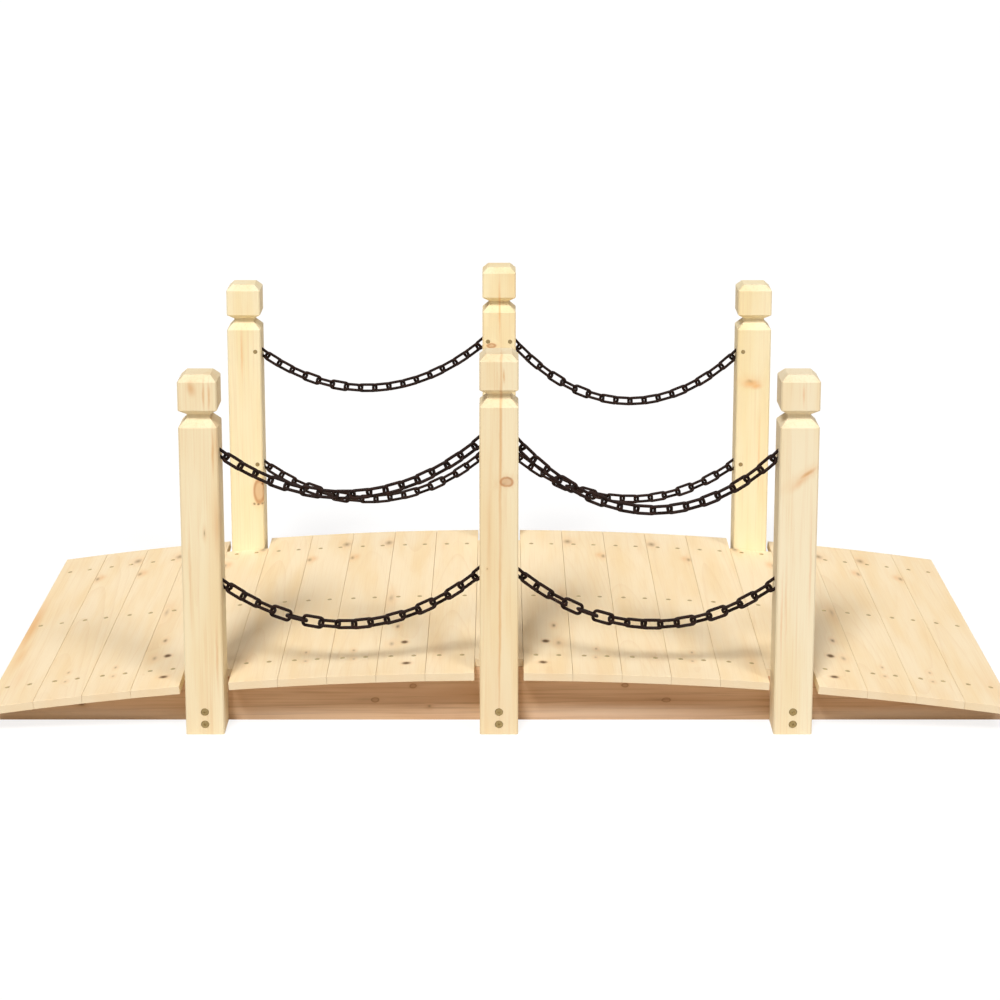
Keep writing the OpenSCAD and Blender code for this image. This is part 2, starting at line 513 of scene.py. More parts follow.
@dataclass(frozen=True)
class PlanedSpruce:
    """Spruce, planed and left bare: pale cream wood with faint honey rings, soft sheen and brown knots.

    A pattern's size is given across and along the grain.

    Attributes:
        early: Colour of the wide spring wood.
        warm: Colour that the spring wood drifts to.
        late: Colour of the thin summer rings.
        end: Colour that end grain is tinted with.
        heart: Colour of stains and of the wood round a knot.
        painted_light: Colour of pale streaks of painted light, which lighten the wood.
        live: Colour of a live knot.
        dead: Colour of a dead knot.
        end_share: How strongly the end grain is tinted, from 0 to 1.
        stain_and_painted_light_share: How strongly stains and pale streaks of painted light show, from 0 to
            1.
        ring_mm: From ring to ring.
        ring_share: How strongly the rings show, from 0 to 1.
        summer_power: How thin the summer wood is: the higher, the thinner.
        year_stride: What sets the years of one piece apart from those of the next.
        bend_mm: Size of the slow bends of the rings.
        bend_reach_mm: How far they bend.
        bulge_mm: How far the rings bulge round a knot.
        bulge_radii: How far from the knot they do so, in its radii.
        fibre_mm: Width of a fibre streak. Real fibres are finer, and this is as coarse as a picture needs.
        fibre_length: Length of a fibre streak, in widths.
        fibre_share: How strongly the fibres show, from 0 to 1.
        drift_mm: Size of the slow drift of colour.
        fray_mm: Size of the frays in the outline of a knot.
        fray_reach_mm: How far they reach across, through and along the grain.
        rim_radii: Where the dark rim of a live knot lies, in its radii.
        roughness: How dull the planed face is.
        ior: Its index of refraction.
        specular: How strongly it shines, where 0.5 is a smooth face.
        bump: How strongly the grain stands out, from 0 to 1.
        bump_height: How high it stands out.
    """

    early: str = "#FCEBC8"
    warm: str = "#F8E0B3"
    late: str = "#DFB682"
    end: str = "#E2D2B4"
    heart: str = "#EDBA7C"
    painted_light: str = "#FBEFD6"
    live: str = "#B9753F"
    dead: str = "#5E4018"
    end_share: float = 0.6
    stain_and_painted_light_share: float = 0.8
    ring_mm: float = 5.0
    ring_share: float = 0.15
    summer_power: float = 3.0
    year_stride: float = 61.7
    bend_mm: tuple[float, float] = (90.0, 400.0)
    bend_reach_mm: float = 26.0
    bulge_mm: float = 5.0
    bulge_radii: float = 2.6
    fibre_mm: float = 2.2
    fibre_length: float = 50.0
    fibre_share: float = 0.18
    drift_mm: tuple[float, float] = (34.0, 260.0)
    fray_mm: tuple[float, float] = (9.0, 24.0)
    fray_reach_mm: tuple[float, float, float] = (3.6, 0.0, 4.6)
    rim_radii: float = 0.8
    roughness: float = 0.62
    ior: float = 1.5
    specular: float = 0.2
    bump: float = 0.3
    bump_height: float = 0.2 * MM

    def nearest(
        self, g: Graph, place: bpy.types.NodeSocket, kind: KnotKind, knots: tuple[Knot, ...]
    ) -> Source:
        """Measures how near a point is to the nearest knot of one kind.

        Args:
            g: The material's tree.
            place: The point, in the space of the knots.
            kind: The kind that counts.
            knots: All knots of the piece.

        Returns:
            A node whose value is 0 in the middle of a strong knot and 1 at any knot's rim, or a number where
            the piece has no such knot.
        """
        nearest: Source = NO_KNOT
        for knot in (k for k in knots if k.kind is kind):
            offset = g.add(
                "ShaderNodeMapping",
                {
                    "Vector": place,
                    "Location": (knot.across, knot.through, knot.along),
                    "Rotation": (0, math.radians(knot.lean), 0),
                    "Scale": (knot.wide, knot.deep, knot.long),
                },
                vector_type="TEXTURE",
            )
            reach = g.add("ShaderNodeVectorMath", {0: offset}, operation="LENGTH").outputs["Value"]
            faded = g.add(
                "ShaderNodeMath",
                {0: reach, 1: knot.tone, 2: 1 - knot.tone},
                operation="MULTIPLY_ADD",
            )
            nearest = g.add("ShaderNodeMath", {0: nearest, 1: faded}, operation="MINIMUM")
        return nearest

    def rings(
        self, g: Graph, grain: Grain, cut: Cut, knot: bpy.types.Node, bend: bpy.types.Node
    ) -> bpy.types.Node:
        """Draws the growth rings round the log's heart, which bend slowly and bulge round knots.

        Args:
            g: The material's tree.
            grain: What the pattern is drawn from.
            cut: How the piece was sawn.
            knot: How near the nearest knot is.
            bend: The noise that the rings bend with.

        Returns:
            A node whose value rises to 1 at the end of a strong year and is 0 in its spring wood.
        """
        draw = g.add("ShaderNodeTexWhiteNoise", {"W": grain.seed}, noise_dimensions="1D").outputs["Color"]
        chance = g.add("ShaderNodeSeparateColor", {0: draw}).outputs
        xyz = g.add("ShaderNodeSeparateXYZ", {0: grain.place}).outputs
        aside = g.add(
            "ShaderNodeMath",
            {0: chance["Red"], 1: cut.scatter, 2: -cut.pith_across - cut.scatter / 2},
            operation="MULTIPLY_ADD",
        )
        across = g.add("ShaderNodeMath", {0: xyz["X"], 1: aside}, operation="ADD")
        bent = g.add("ShaderNodeMath", {0: bend, 1: self.bend_reach_mm, 2: across}, operation="MULTIPLY_ADD")
        under = g.add(
            "ShaderNodeMath",
            {0: chance["Green"], 1: cut.scatter, 2: cut.pith_depth},
            operation="MULTIPLY_ADD",
        )
        depth = g.add("ShaderNodeMath", {0: xyz["Y"], 1: under}, operation="ADD")
        spoke = g.add("ShaderNodeCombineXYZ", {"X": bent, "Y": depth})
        radius = g.add("ShaderNodeVectorMath", {0: spoke}, operation="LENGTH").outputs["Value"]
        slope = g.add(
            "ShaderNodeMath",
            {0: chance["Blue"], 1: 2 * cut.runout, 2: -cut.runout},
            operation="MULTIPLY_ADD",
        )
        run = g.add("ShaderNodeMath", {0: slope, 1: xyz["Z"], 2: radius}, operation="MULTIPLY_ADD")
        bulge = g.add(
            "ShaderNodeMapRange",
            {"Value": knot, "From Max": self.bulge_radii, "To Min": self.bulge_mm, "To Max": 0.0},
            interpolation_type="SMOOTHSTEP",
        )
        grown = g.add("ShaderNodeMath", {0: run, 1: bulge}, operation="ADD")
        years = g.add("ShaderNodeMath", {0: grown, 1: self.ring_mm}, operation="DIVIDE")
        year = g.add("ShaderNodeMath", {0: years}, operation="FLOOR")
        season = g.add("ShaderNodeMath", {0: years}, operation="FRACT")
        summer = g.add("ShaderNodeMath", {0: season, 1: self.summer_power}, operation="POWER")
        year_seed = g.add(
            "ShaderNodeMath",
            {0: grain.seed, 1: self.year_stride, 2: year},
            operation="MULTIPLY_ADD",
        )
        vigour = g.add("ShaderNodeTexWhiteNoise", {"W": year_seed}, noise_dimensions="1D").outputs["Value"]
        return g.add("ShaderNodeMath", {0: summer, 1: vigour}, operation="MULTIPLY")

    def material(self, name: str, lie: Lie, cut: Cut) -> bpy.types.Material:
        """Makes the timber of one kind of piece.

        Args:
            name: The material's name.
            lie: How the grain lies in the piece.
            cut: How the piece was sawn.

        Returns:
            The material.
        """
        material = bpy.data.materials.new(name)
        g = Graph(material)
        grain = lie.grain(g)

        # Frays in the knots' outlines, fibre streaks, the drift from cream to honey, and the rings' bends.
        noises = []
        fibre_mm = (self.fibre_mm, self.fibre_mm * self.fibre_length)
        for (wide, long), detail in (
            (self.fray_mm, 3.0),
            (fibre_mm, 3.0),
            (self.drift_mm, 3.0),
            (self.bend_mm, 2.0),
        ):
            scale = (1 / wide, 1 / wide, 1 / long)
            place = g.add("ShaderNodeMapping", {"Vector": grain.place, "Scale": scale})
            noises.append(
                g.add(
                    "ShaderNodeTexNoise",
                    {"Vector": place, "W": grain.seed, "Scale": 1.0, "Detail": detail},
                    noise_dimensions="4D",
                )
            )
        fray, fibre, drift, bend = noises
        half_reach = tuple(-reach / 2 for reach in self.fray_reach_mm)
        offset = g.add(
            "ShaderNodeVectorMath",
            {0: fray.outputs["Color"], 1: self.fray_reach_mm, 2: half_reach},
            operation="MULTIPLY_ADD",
        )
        frayed = g.add("ShaderNodeVectorMath", {0: grain.knot_place, 1: offset}, operation="ADD").outputs[0]
        live, dead, stain, pale = (self.nearest(g, frayed, kind, cut.knots) for kind in KnotKind)
        knot = g.add("ShaderNodeMath", {0: live, 1: dead}, operation="MINIMUM")
        line = self.rings(g, grain, cut, knot, bend)

        # A live knot has a darker rim and pale wood inside it. A dead one is dark all through.
        from_rim = g.add("ShaderNodeMath", {0: live, 1: self.rim_radii}, operation="SUBTRACT")
        rim = g.add("ShaderNodeMath", {0: from_rim}, operation="ABSOLUTE")
        colour: Source = linear(self.early)
        for tint in (
            Tint(drift, none=0.35, full=0.72, share=1.0, colour=self.warm),
            Tint(line, none=0.0, full=1.0, share=self.ring_share, colour=self.late),
            Tint(fibre, none=0.45, full=0.8, share=self.fibre_share, colour=self.late),
            Tint(grain.end, none=0.0, full=1.0, share=self.end_share, colour=self.end),
            Tint(stain, none=1.0, full=0.0, share=self.stain_and_painted_light_share, colour=self.heart),
            # Pale streaks of painted light lighten the wood where they lie.
            Tint(pale, none=1.0, full=0.0, share=self.stain_and_painted_light_share, colour=self.painted_light),
            Tint(knot, none=1.7, full=0.8, share=0.24, colour=self.heart),
            Tint(live, none=1.1, full=0.6, share=0.36, colour=self.live),
            Tint(rim, none=0.3, full=0.0, share=0.6, colour=self.live),
            Tint(dead, none=1.05, full=0.3, share=0.95, colour=self.dead),
        ):
            share = g.add(
                "ShaderNodeMapRange",
                {"Value": tint.value, "From Min": tint.none, "From Max": tint.full, "To Max": tint.share},
                interpolation_type="SMOOTHSTEP",
            )
            colour = g.add(
                "ShaderNodeMix",
                {"Factor": share, "A": colour, "B": linear(tint.colour)},
                data_type="RGBA",
            )

        height = g.add("ShaderNodeMath", {0: fibre, 1: line}, operation="ADD")
        bump = g.add(
            "ShaderNodeBump", {"Height": height, "Strength": self.bump, "Distance": self.bump_height}
        )
        shader = g.add(
            "ShaderNodeBsdfPrincipled",
            {
                "Base Color": colour,
                "Roughness": self.roughness,
                "IOR": self.ior,
                "Specular IOR Level": self.specular,
                "Normal": bump,
            },
        )
        g.add("ShaderNodeOutputMaterial", {"Surface": shader})
        return material


@dataclass(frozen=True)
class CoatedSteel:
    """Steel under a dark brown dipped coat: nearly black, with a dull gleam where the coat is smooth.

    Attributes:
        coat: Colour of the coat.
        rubbed: Colour where links have rubbed.
        rub_range: Where in the mottle the rubbing starts, and where it is full.
        mottle_mm: Size of the patches in the coat.
        roughness: How dull the smoothest and the roughest patches are.
        specular: How strongly the coat shines, where 0.5 is a smooth face.
        bump: How strongly the patches stand out, from 0 to 1.
        bump_height: How high they stand out.
    """

    coat: str = "#1E100B"
    rubbed: str = "#301B13"
    rub_range: tuple[float, float] = (0.45, 0.75)
    mottle_mm: float = 6.0
    roughness: tuple[float, float] = (0.45, 0.7)
    specular: float = 0.12
    bump: float = 0.2
    bump_height: float = 0.1 * MM

    def material(self, name: str) -> bpy.types.Material:
        """Makes the coat.

        Args:
            name: The material's name.

        Returns:
            The material.
        """
        material = bpy.data.materials.new(name)
        g = Graph(material)
        place = g.add("ShaderNodeTexCoord").outputs["Object"]
        mottle = g.add(
            "ShaderNodeTexNoise",
            {"Vector": place, "Scale": PER_M / self.mottle_mm, "Detail": 3.0},
        )
        share = g.add(
            "ShaderNodeMapRange",
            {"Value": mottle, "From Min": self.rub_range[0], "From Max": self.rub_range[1]},
        )
        colour = g.add(
            "ShaderNodeMix",
            {"Factor": share, "A": linear(self.coat), "B": linear(self.rubbed)},
            data_type="RGBA",
        )
        dullness = g.add(
            "ShaderNodeMapRange",
            {"Value": mottle, "To Min": self.roughness[0], "To Max": self.roughness[1]},
        )
        bump = g.add(
            "ShaderNodeBump", {"Height": mottle, "Strength": self.bump, "Distance": self.bump_height}
        )
        shader = g.add(
            "ShaderNodeBsdfPrincipled",
            {
                "Base Color": colour,
                "Roughness": dullness,
                "Specular IOR Level": self.specular,
                "Normal": bump,
            },
        )
        g.add("ShaderNodeOutputMaterial", {"Surface": shader})
        return material


@dataclass(frozen=True)
class PassivatedSteel:
    """Yellow-passivated steel of screws and nails: a dull olive gold metal, darker in its hollows.

    Attributes:
        bright: Colour of the film where it is thin.
        dark: Colour where it is thick.
        mottle_mm: Size of its patches.
        roughness: How dull the smoothest and the roughest patches are.
    """

    bright: str = "#BBA576"
    dark: str = "#8A7344"
    mottle_mm: float = 2.5
    roughness: tuple[float, float] = (0.35, 0.55)

    def material(self, name: str) -> bpy.types.Material:
        """Makes the film.

        Args:
            name: The material's name.

        Returns:
            The material.
        """
        material = bpy.data.materials.new(name)
        g = Graph(material)
        place = g.add("ShaderNodeTexCoord").outputs["Object"]
        mottle = g.add(
            "ShaderNodeTexNoise",
            {"Vector": place, "Scale": PER_M / self.mottle_mm, "Detail": 2.0},
        )
        colour = g.add(
            "ShaderNodeMix",
            {"Factor": mottle, "A": linear(self.bright), "B": linear(self.dark)},
            data_type="RGBA",
        )
        dullness = g.add(
            "ShaderNodeMapRange",
            {"Value": mottle, "To Min": self.roughness[0], "To Max": self.roughness[1]},
        )
        shader = g.add(
            "ShaderNodeBsdfPrincipled",
            {"Base Color": colour, "Roughness": dullness, "Metallic": 1.0},
        )
        g.add("ShaderNodeOutputMaterial", {"Surface": shader})
        return material


@dataclass(frozen=True)
class ScrewHead:
    """A flat screw head with a star-shaped recess for the driver.

    Attributes:
        radius: Outer radius of the head.
        height: How far the head stands over its seat.
        ease: Bevel of its upper edge.
        points: Points of the recess: four make a cross, six a star.
        recess_radius: From the head's axis to a point of the recess.
        waist_share: How far the recess draws in between its points, as a share of that radius.
        recess_depth: How deep it goes.
        segments: Sides of the head.
        floor_share: How wide the recess is at its floor, as a share of its mouth.
    """

    radius: float
    height: float
    ease: float
    points: int
    recess_radius: float
    waist_share: float
    recess_depth: float
    segments: int
    floor_share: float = 0.7

    def build(self, shape: bmesh.types.BMesh, place: Matrix) -> None:
        """Adds one head to a mesh.

        Args:
            shape: The mesh that it joins.
            place: Where the middle of its seat lies, with Z out of the seat.
        """
        top = place @ Matrix.Translation((0, 0, self.height))
        rim = bmesh.ops.create_circle(
            shape, segments=self.segments, radius=self.radius - self.ease, matrix=top
        )["verts"]
        star = bmesh.ops.create_circle(
            shape, segments=2 * self.points, radius=self.recess_radius, matrix=top
        )["verts"]
        pinch = Matrix.Diagonal((self.waist_share, self.waist_share, 1, 1))
        bmesh.ops.transform(shape, verts=star[1::2], matrix=place @ pinch @ place.inverted())
        rim_edges, star_edges = edges_of(rim), edges_of(star)
        out = place.to_3x3() @ Vector((0, 0, 1))
        bmesh.ops.triangle_fill(shape, edges=rim_edges + star_edges, use_beauty=True, normal=out)
        widen = self.radius / (self.radius - self.ease)
        outer = draw_wall(shape, rim_edges, (widen, widen), -self.ease, place)
        draw_wall(shape, outer, (1.0, 1.0), self.ease - self.height, place)
        narrow = (self.floor_share, self.floor_share)
        floor = draw_wall(shape, star_edges, narrow, -self.recess_depth, place)
        bmesh.ops.contextual_create(shape, geom=floor)


def board_cuts() -> dict[BoardFigure, Cut]:
    """Chooses how the boards of each figure were sawn.

    Returns:
        The cuts. Their knots are measured from a board's middle and face, for the right half of the deck.
    """
    dead, stain = KnotKind.DEAD, KnotKind.STAIN
    # A honey tint over the boards' front ends, which makes the deck darker towards its front edge.
    front_end_tint = Knot(0, -330, 50, 120, stain, tone=0.24)
    return {
        BoardFigure.KNOTTED: Cut(
            pith_across=-4,
            pith_depth=60,
            scatter=50,
            runout=0.05,
            knots=(
                Knot(-1, -204, 7, 9, dead),
                Knot(-7, -291, 8.5, 7, dead, tone=0.9),
                Knot(18, -210, 5.5, 12, dead, tone=0.34),
                Knot(12, -136, 4.5, 11, dead, tone=0.5),
                Knot(28, -6, 5, 24, dead, tone=0.27),
                front_end_tint,
            ),
        ),
        BoardFigure.EDGE_KNOTS: Cut(
            pith_across=-10,
            pith_depth=50,
            scatter=60,
            runout=0.05,
            knots=(
                Knot(-27, 274, 9, 16, dead, tone=0.42),
                Knot(31, 202, 5, 13, dead, tone=0.4),
                Knot(24, 207, 12, 26, stain, tone=0.6),
                Knot(2, -232, 3, 6, dead, tone=0.36),
                Knot(0, -268, 3.2, 5, dead, tone=0.33),
                front_end_tint,
            ),
        ),
        BoardFigure.FLAME: Cut(
            pith_across=4,
            pith_depth=26,
            scatter=30,
            runout=0.09,
            knots=(
                Knot(18, -250, 26, 110, stain, tone=0.36),
                Knot(22, 250, 14, 60, stain, tone=0.3),
            ),
        ),
        BoardFigure.HEART: Cut(
            pith_across=30,
            pith_depth=40,
            scatter=30,
            runout=0.07,
            knots=(
                Knot(30, 0, 15, 175, stain),
                Knot(22, -135, 17, 90, stain, tone=0.6),
                Knot(6, -220, 16, 110, stain, tone=0.42),
            ),
        ),
    }


@dataclass
class Deck:
    """The deck: boards with eased edges, each sunk for its screws, and the screws.

    Attributes:
        arch: The circle that the boards follow.
        spruce: The boards' finish.
        steel: The screws' finish.
        rows: Where the rows of screws lie across the deck, by name.
        gauge: From a board's middle to its screws.
        hole_radius: Radius of the sunk hole over a screw.
        hole_depth: How deep the screw heads are sunk.
        hole_segments: Sides of that hole.
        ease: Radius of the boards' edges.
        ease_steps: Facets of that edge.
        head: The screws' heads.
        seed: Where the screws' random turns start.
        cuts: How the boards of each figure were sawn.
        figures: The boards of each figure, by their numbers from the left end.
    """

    arch: Arch
    spruce: PlanedSpruce
    steel: PassivatedSteel
    rows: dict[str, float]
    gauge: float = 17 * MM
    hole_radius: float = 4.1 * MM
    hole_depth: float = 1.2 * MM
    hole_segments: int = 12
    ease: float = 0.4 * MM
    ease_steps: int = 3
    head: ScrewHead = ScrewHead(
        radius=3.85 * MM,
        height=0.9 * MM,
        ease=0.2 * MM,
        points=4,
        recess_radius=2.0 * MM,
        waist_share=0.45,
        recess_depth=0.5 * MM,
        segments=12,
    )
    seed: int = 7
    cuts: dict[BoardFigure, Cut] = field(default_factory=board_cuts)
    figures: dict[BoardFigure, tuple[int, ...]] = field(
        default_factory=lambda: {
            BoardFigure.HEART: (1,),
            BoardFigure.EDGE_KNOTS: (2, 3, 5, 7, 8, 13, 15, 17, 19, 20),
            BoardFigure.KNOTTED: (4, 9, 12, 18),
            BoardFigure.FLAME: (6, 10, 11, 14, 16, 21),
        }
    )

    @property
    def crown(self) -> int:
        """The number of the board in the middle of the deck."""
        return (self.arch.count + 1) // 2

    def build(self) -> None:
        """Builds the boards, then a joined mesh of screws for each row."""
        lie = BoardLie(self.arch)
        for figure, numbers in self.figures.items():
            timber = self.spruce.material(f"planed_spruce_board_{figure.value}", lie, self.cuts[figure])
            for number in numbers:
                self.build_board(number, timber)
        film = self.steel.material("yellow_passivated_deck_screws")
        draw = random.Random(self.seed)
        for row, y in self.rows.items():
            screws = bmesh.new()
            for number in range(1, self.arch.count + 1):
                for x in (-self.gauge, self.gauge):
                    turn = Matrix.Rotation(draw.uniform(0, math.pi), 4, "Z")
                    sunk = Matrix.Translation((x, y, -self.hole_depth))
                    self.head.build(screws, self.arch.seat(number - self.crown) @ sunk @ turn)
            new_piece(f"deck_screws_{row}_row", screws, film)

    def build_board(self, number: int, timber: bpy.types.Material) -> None:
        """Builds one board from its face: an outline with round holes, and walls drawn down from both.

        Args:
            number: The board's number from the left end.
            timber: Its material.
        """
        node = f"deck_board_{number:02d}"
        low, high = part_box(node)
        crown_low, crown_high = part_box(f"deck_board_{self.crown:02d}")
        width, thick = crown_high.x - crown_low.x, crown_high.z - crown_low.z
        length = high.y - low.y
        flat = Matrix.Identity(4)
        board = bmesh.new()
        face = bmesh.ops.create_grid(board, x_segments=1, y_segments=1, size=0.5)
        bmesh.ops.delete(board, geom=board.faces[:], context="FACES_ONLY")
        size = Vector((width - 2 * self.ease, length - 2 * self.ease, 1))
        bmesh.ops.scale(board, vec=size, verts=face["verts"])
        outline = board.edges[:]
        holes = []
        for y in self.rows.values():
            for x in (-self.gauge, self.gauge):
                place = Matrix.Translation((x, y, 0))
                ring = bmesh.ops.create_circle(
                    board, segments=self.hole_segments, radius=self.hole_radius, matrix=place
                )["verts"]
                holes.append(edges_of(ring))
        every = outline + [edge for hole in holes for edge in hole]
        bmesh.ops.triangle_fill(board, edges=every, use_beauty=True, normal=(0, 0, 1))
        for hole in holes:
            bottom = draw_wall(board, hole, (1.0, 1.0), -self.hole_depth, flat)
            bmesh.ops.contextual_create(board, geom=bottom)

        # The sides go out and down round the upper edge, straight down, and in again round the lower one.
        turns = [math.pi / 2 * (step + 1) / self.ease_steps for step in range(self.ease_steps)]
        upper = [(self.ease * math.sin(turn), self.ease * (1 - math.cos(turn))) for turn in turns]
        lower = [(out, thick - down) for out, down in [*upper[::-1], (0.0, 0.0)]]
        half = size / 2
        loop = outline
        reach = fall = 0.0
        for out, down in upper + lower:
            widen = ((half.x + out) / (half.x + reach), (half.y + out) / (half.y + reach))
            loop = draw_wall(board, loop, widen, fall - down, flat)
            reach, fall = out, down
        bmesh.ops.contextual_create(board, geom=loop)
        bmesh.ops.remove_doubles(board, verts=board.verts[:], dist=MERGE)
        bmesh.ops.recalc_face_normals(board, faces=board.faces[:])
        bmesh.ops.transform(board, matrix=self.arch.seat(number - self.crown), verts=board.verts[:])
        piece = new_piece(f"spruce_board_{number:02d}", board, timber)
        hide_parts(node)


class PostTimber(NamedTuple):
    """What one post is made of.

    Attributes:
        spruce: Its finish.
        knots: Its knots, which are measured from its middle line, its foot and its front face.
    """

    spruce: PlanedSpruce
    knots: tuple[Knot, ...]


@dataclass
class Posts:
    """The six posts and the screws in their feet.

    Attributes:
        timbers: What each post is made of, by its node.
        steel: The screws' finish.
        sawn: How the posts were sawn.
        first_seed: The first post's own number, which lies between those of the boards.
        hole_heights: Heights of the foot screws.
        sunk: How far under the post's face the seat of a screw lies.
        head: The screws' heads.
    """

    timbers: dict[str, PostTimber]
    steel: PassivatedSteel
    sawn: Cut = Cut(pith_across=40, pith_depth=46, scatter=70, runout=0.02)
    first_seed: float = 0.5
    hole_heights: tuple[float, ...] = (15.5 * MM, 34.5 * MM)
    sunk: float = 8.9 * MM
    head: ScrewHead = ScrewHead(
        radius=5.8 * MM,
        height=8.4 * MM,
        ease=0.5 * MM,
        points=6,
        recess_radius=2.2 * MM,
        waist_share=0.72,
        recess_depth=1.2 * MM,
        segments=24,
    )

    def build(self) -> None:
        """Dresses the posts and builds their foot screws."""
        screws = bmesh.new()
        for number, (name, timber) in enumerate(self.timbers.items()):
            low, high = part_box(name)
            foot = (low + high) / 2
            foot.z = low.z
            lie = PostLie(foot, foot.y - low.y, number + self.first_seed)
            cut = replace(self.sawn, knots=timber.knots)
            dress_node(name, timber.spruce.material(f"planed_spruce_{name}", lie, cut))
            side = math.copysign(1.0, foot.y)
            face = high.y if side > 0 else low.y
            for height in self.hole_heights:
                seat = Matrix.Translation((foot.x, face - side * self.sunk, height))
                self.head.build(screws, seat @ Matrix.Rotation(-side * math.pi / 2, 4, "X"))
        film = self.steel.material("yellow_passivated_foot_screws")
        new_piece("post_foot_screws", screws, film)


@dataclass
class Stringers:
    """The three arched beams under the deck.

    Attributes:
        spruce: Their finish.
        names: Their nodes, from front to rear.
        sawn: How they were sawn.
        knot_depth_mm: How deep their knots go, which is right through.
        knots: Their knots, and pale streaks of painted light along their low edge and ends, which are
            measured from the ground and from the middle of the bridge.
    """

    spruce: PlanedSpruce
    names: list[str]
    sawn: Cut = Cut(pith_across=150, pith_depth=40, scatter=40, runout=0.03)
    knot_depth_mm: float = 400.0
    knots: tuple[Knot, ...] = (
        Knot(53, -128, 4, 5.5),
        Knot(31, -184, 4.5, 6.5),
        Knot(32, -198, 4, 30, KnotKind.DEAD, tone=0.2),
        Knot(21, -104, 3, 4, KnotKind.DEAD, tone=0.4),
        Knot(54, 187, 4, 5.5),
        Knot(31, 248, 4, 7.5),
        Knot(32, 236, 4, 30, KnotKind.DEAD, tone=0.2),
        Knot(24, -620, 3, 8, KnotKind.DEAD, tone=0.5),
        Knot(30, 610, 4, 9, KnotKind.DEAD, tone=0.4),
        # Painted light: pale streaks that lighten the low edge and the ends, where the deck's overhang
        # shades the stringers.
        Knot(6, -640, 19, 330, KnotKind.PAINTED_LIGHT),
        Knot(6, 640, 19, 330, KnotKind.PAINTED_LIGHT),
        Knot(10, -330, 17, 300, KnotKind.PAINTED_LIGHT, tone=0.6),
        Knot(11, 160, 20, 420, KnotKind.PAINTED_LIGHT, tone=0.8),
    )

    def rows(self) -> dict[str, float]:
        """The middle of each beam across the deck, which the deck screws follow."""
        middles = {name: (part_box(name)[0].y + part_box(name)[1].y) / 2 for name in self.names}
        return {name.removesuffix("_stringer"): y for name, y in middles.items()}

    def build(self) -> None:
        """Dresses the beams."""
        knots = tuple(replace(knot, deep=self.knot_depth_mm) for knot in self.knots)
        lie = StringerLie(max(self.rows().values()))
        timber = self.spruce.material("planed_spruce_stringers", lie, replace(self.sawn, knots=knots))
        for name in self.names:
            dress_node(name, timber)


@dataclass
class ChainRails:
    """The hanging chains and the nails that hold them.

    Attributes:
        coat: The links' finish.
        steel: The nails' finish.
    """

    coat: CoatedSteel
    steel: PassivatedSteel

    def build(self) -> None:
        """Dresses the chains and nails."""
        coat = self.coat.material("brown_coated_chain_steel")
        film = self.steel.material("dull_nail_steel")
        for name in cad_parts:
            if name.endswith("_chain"):
                dress_node(name, coat)
        dress_node("chain_nails", film)


@dataclass(frozen=True)
class Lamp:
    """One large soft lamp, far away.

    Attributes:
        name: Its name.
        strength: Its light on a face that looks at it.
        turn: Degrees that it stands to the left of the front.
        height: Degrees that it stands over the floor.
        spread: Degrees that it is wide.
        distance: How far from the bridge its object stands, which its light doesn't depend on.
    """

    name: str
    strength: float
    turn: float
    height: float
    spread: float
    distance: float = 4.0

    def build(self) -> None:
        """Builds the lamp and turns it to the bridge."""
        light = bpy.data.lights.new(self.name, "SUN")
        light.energy = self.strength
        light.angle = math.radians(self.spread)
        lamp = new_object(self.name, light)
        up, aside = math.radians(self.height), math.radians(self.turn)
        toward = Vector((-math.sin(aside) * math.cos(up), -math.cos(aside) * math.cos(up), math.sin(up)))
        lamp.rotation_euler = toward.to_track_quat("Z", "Y").to_euler()
        lamp.location = toward * self.distance


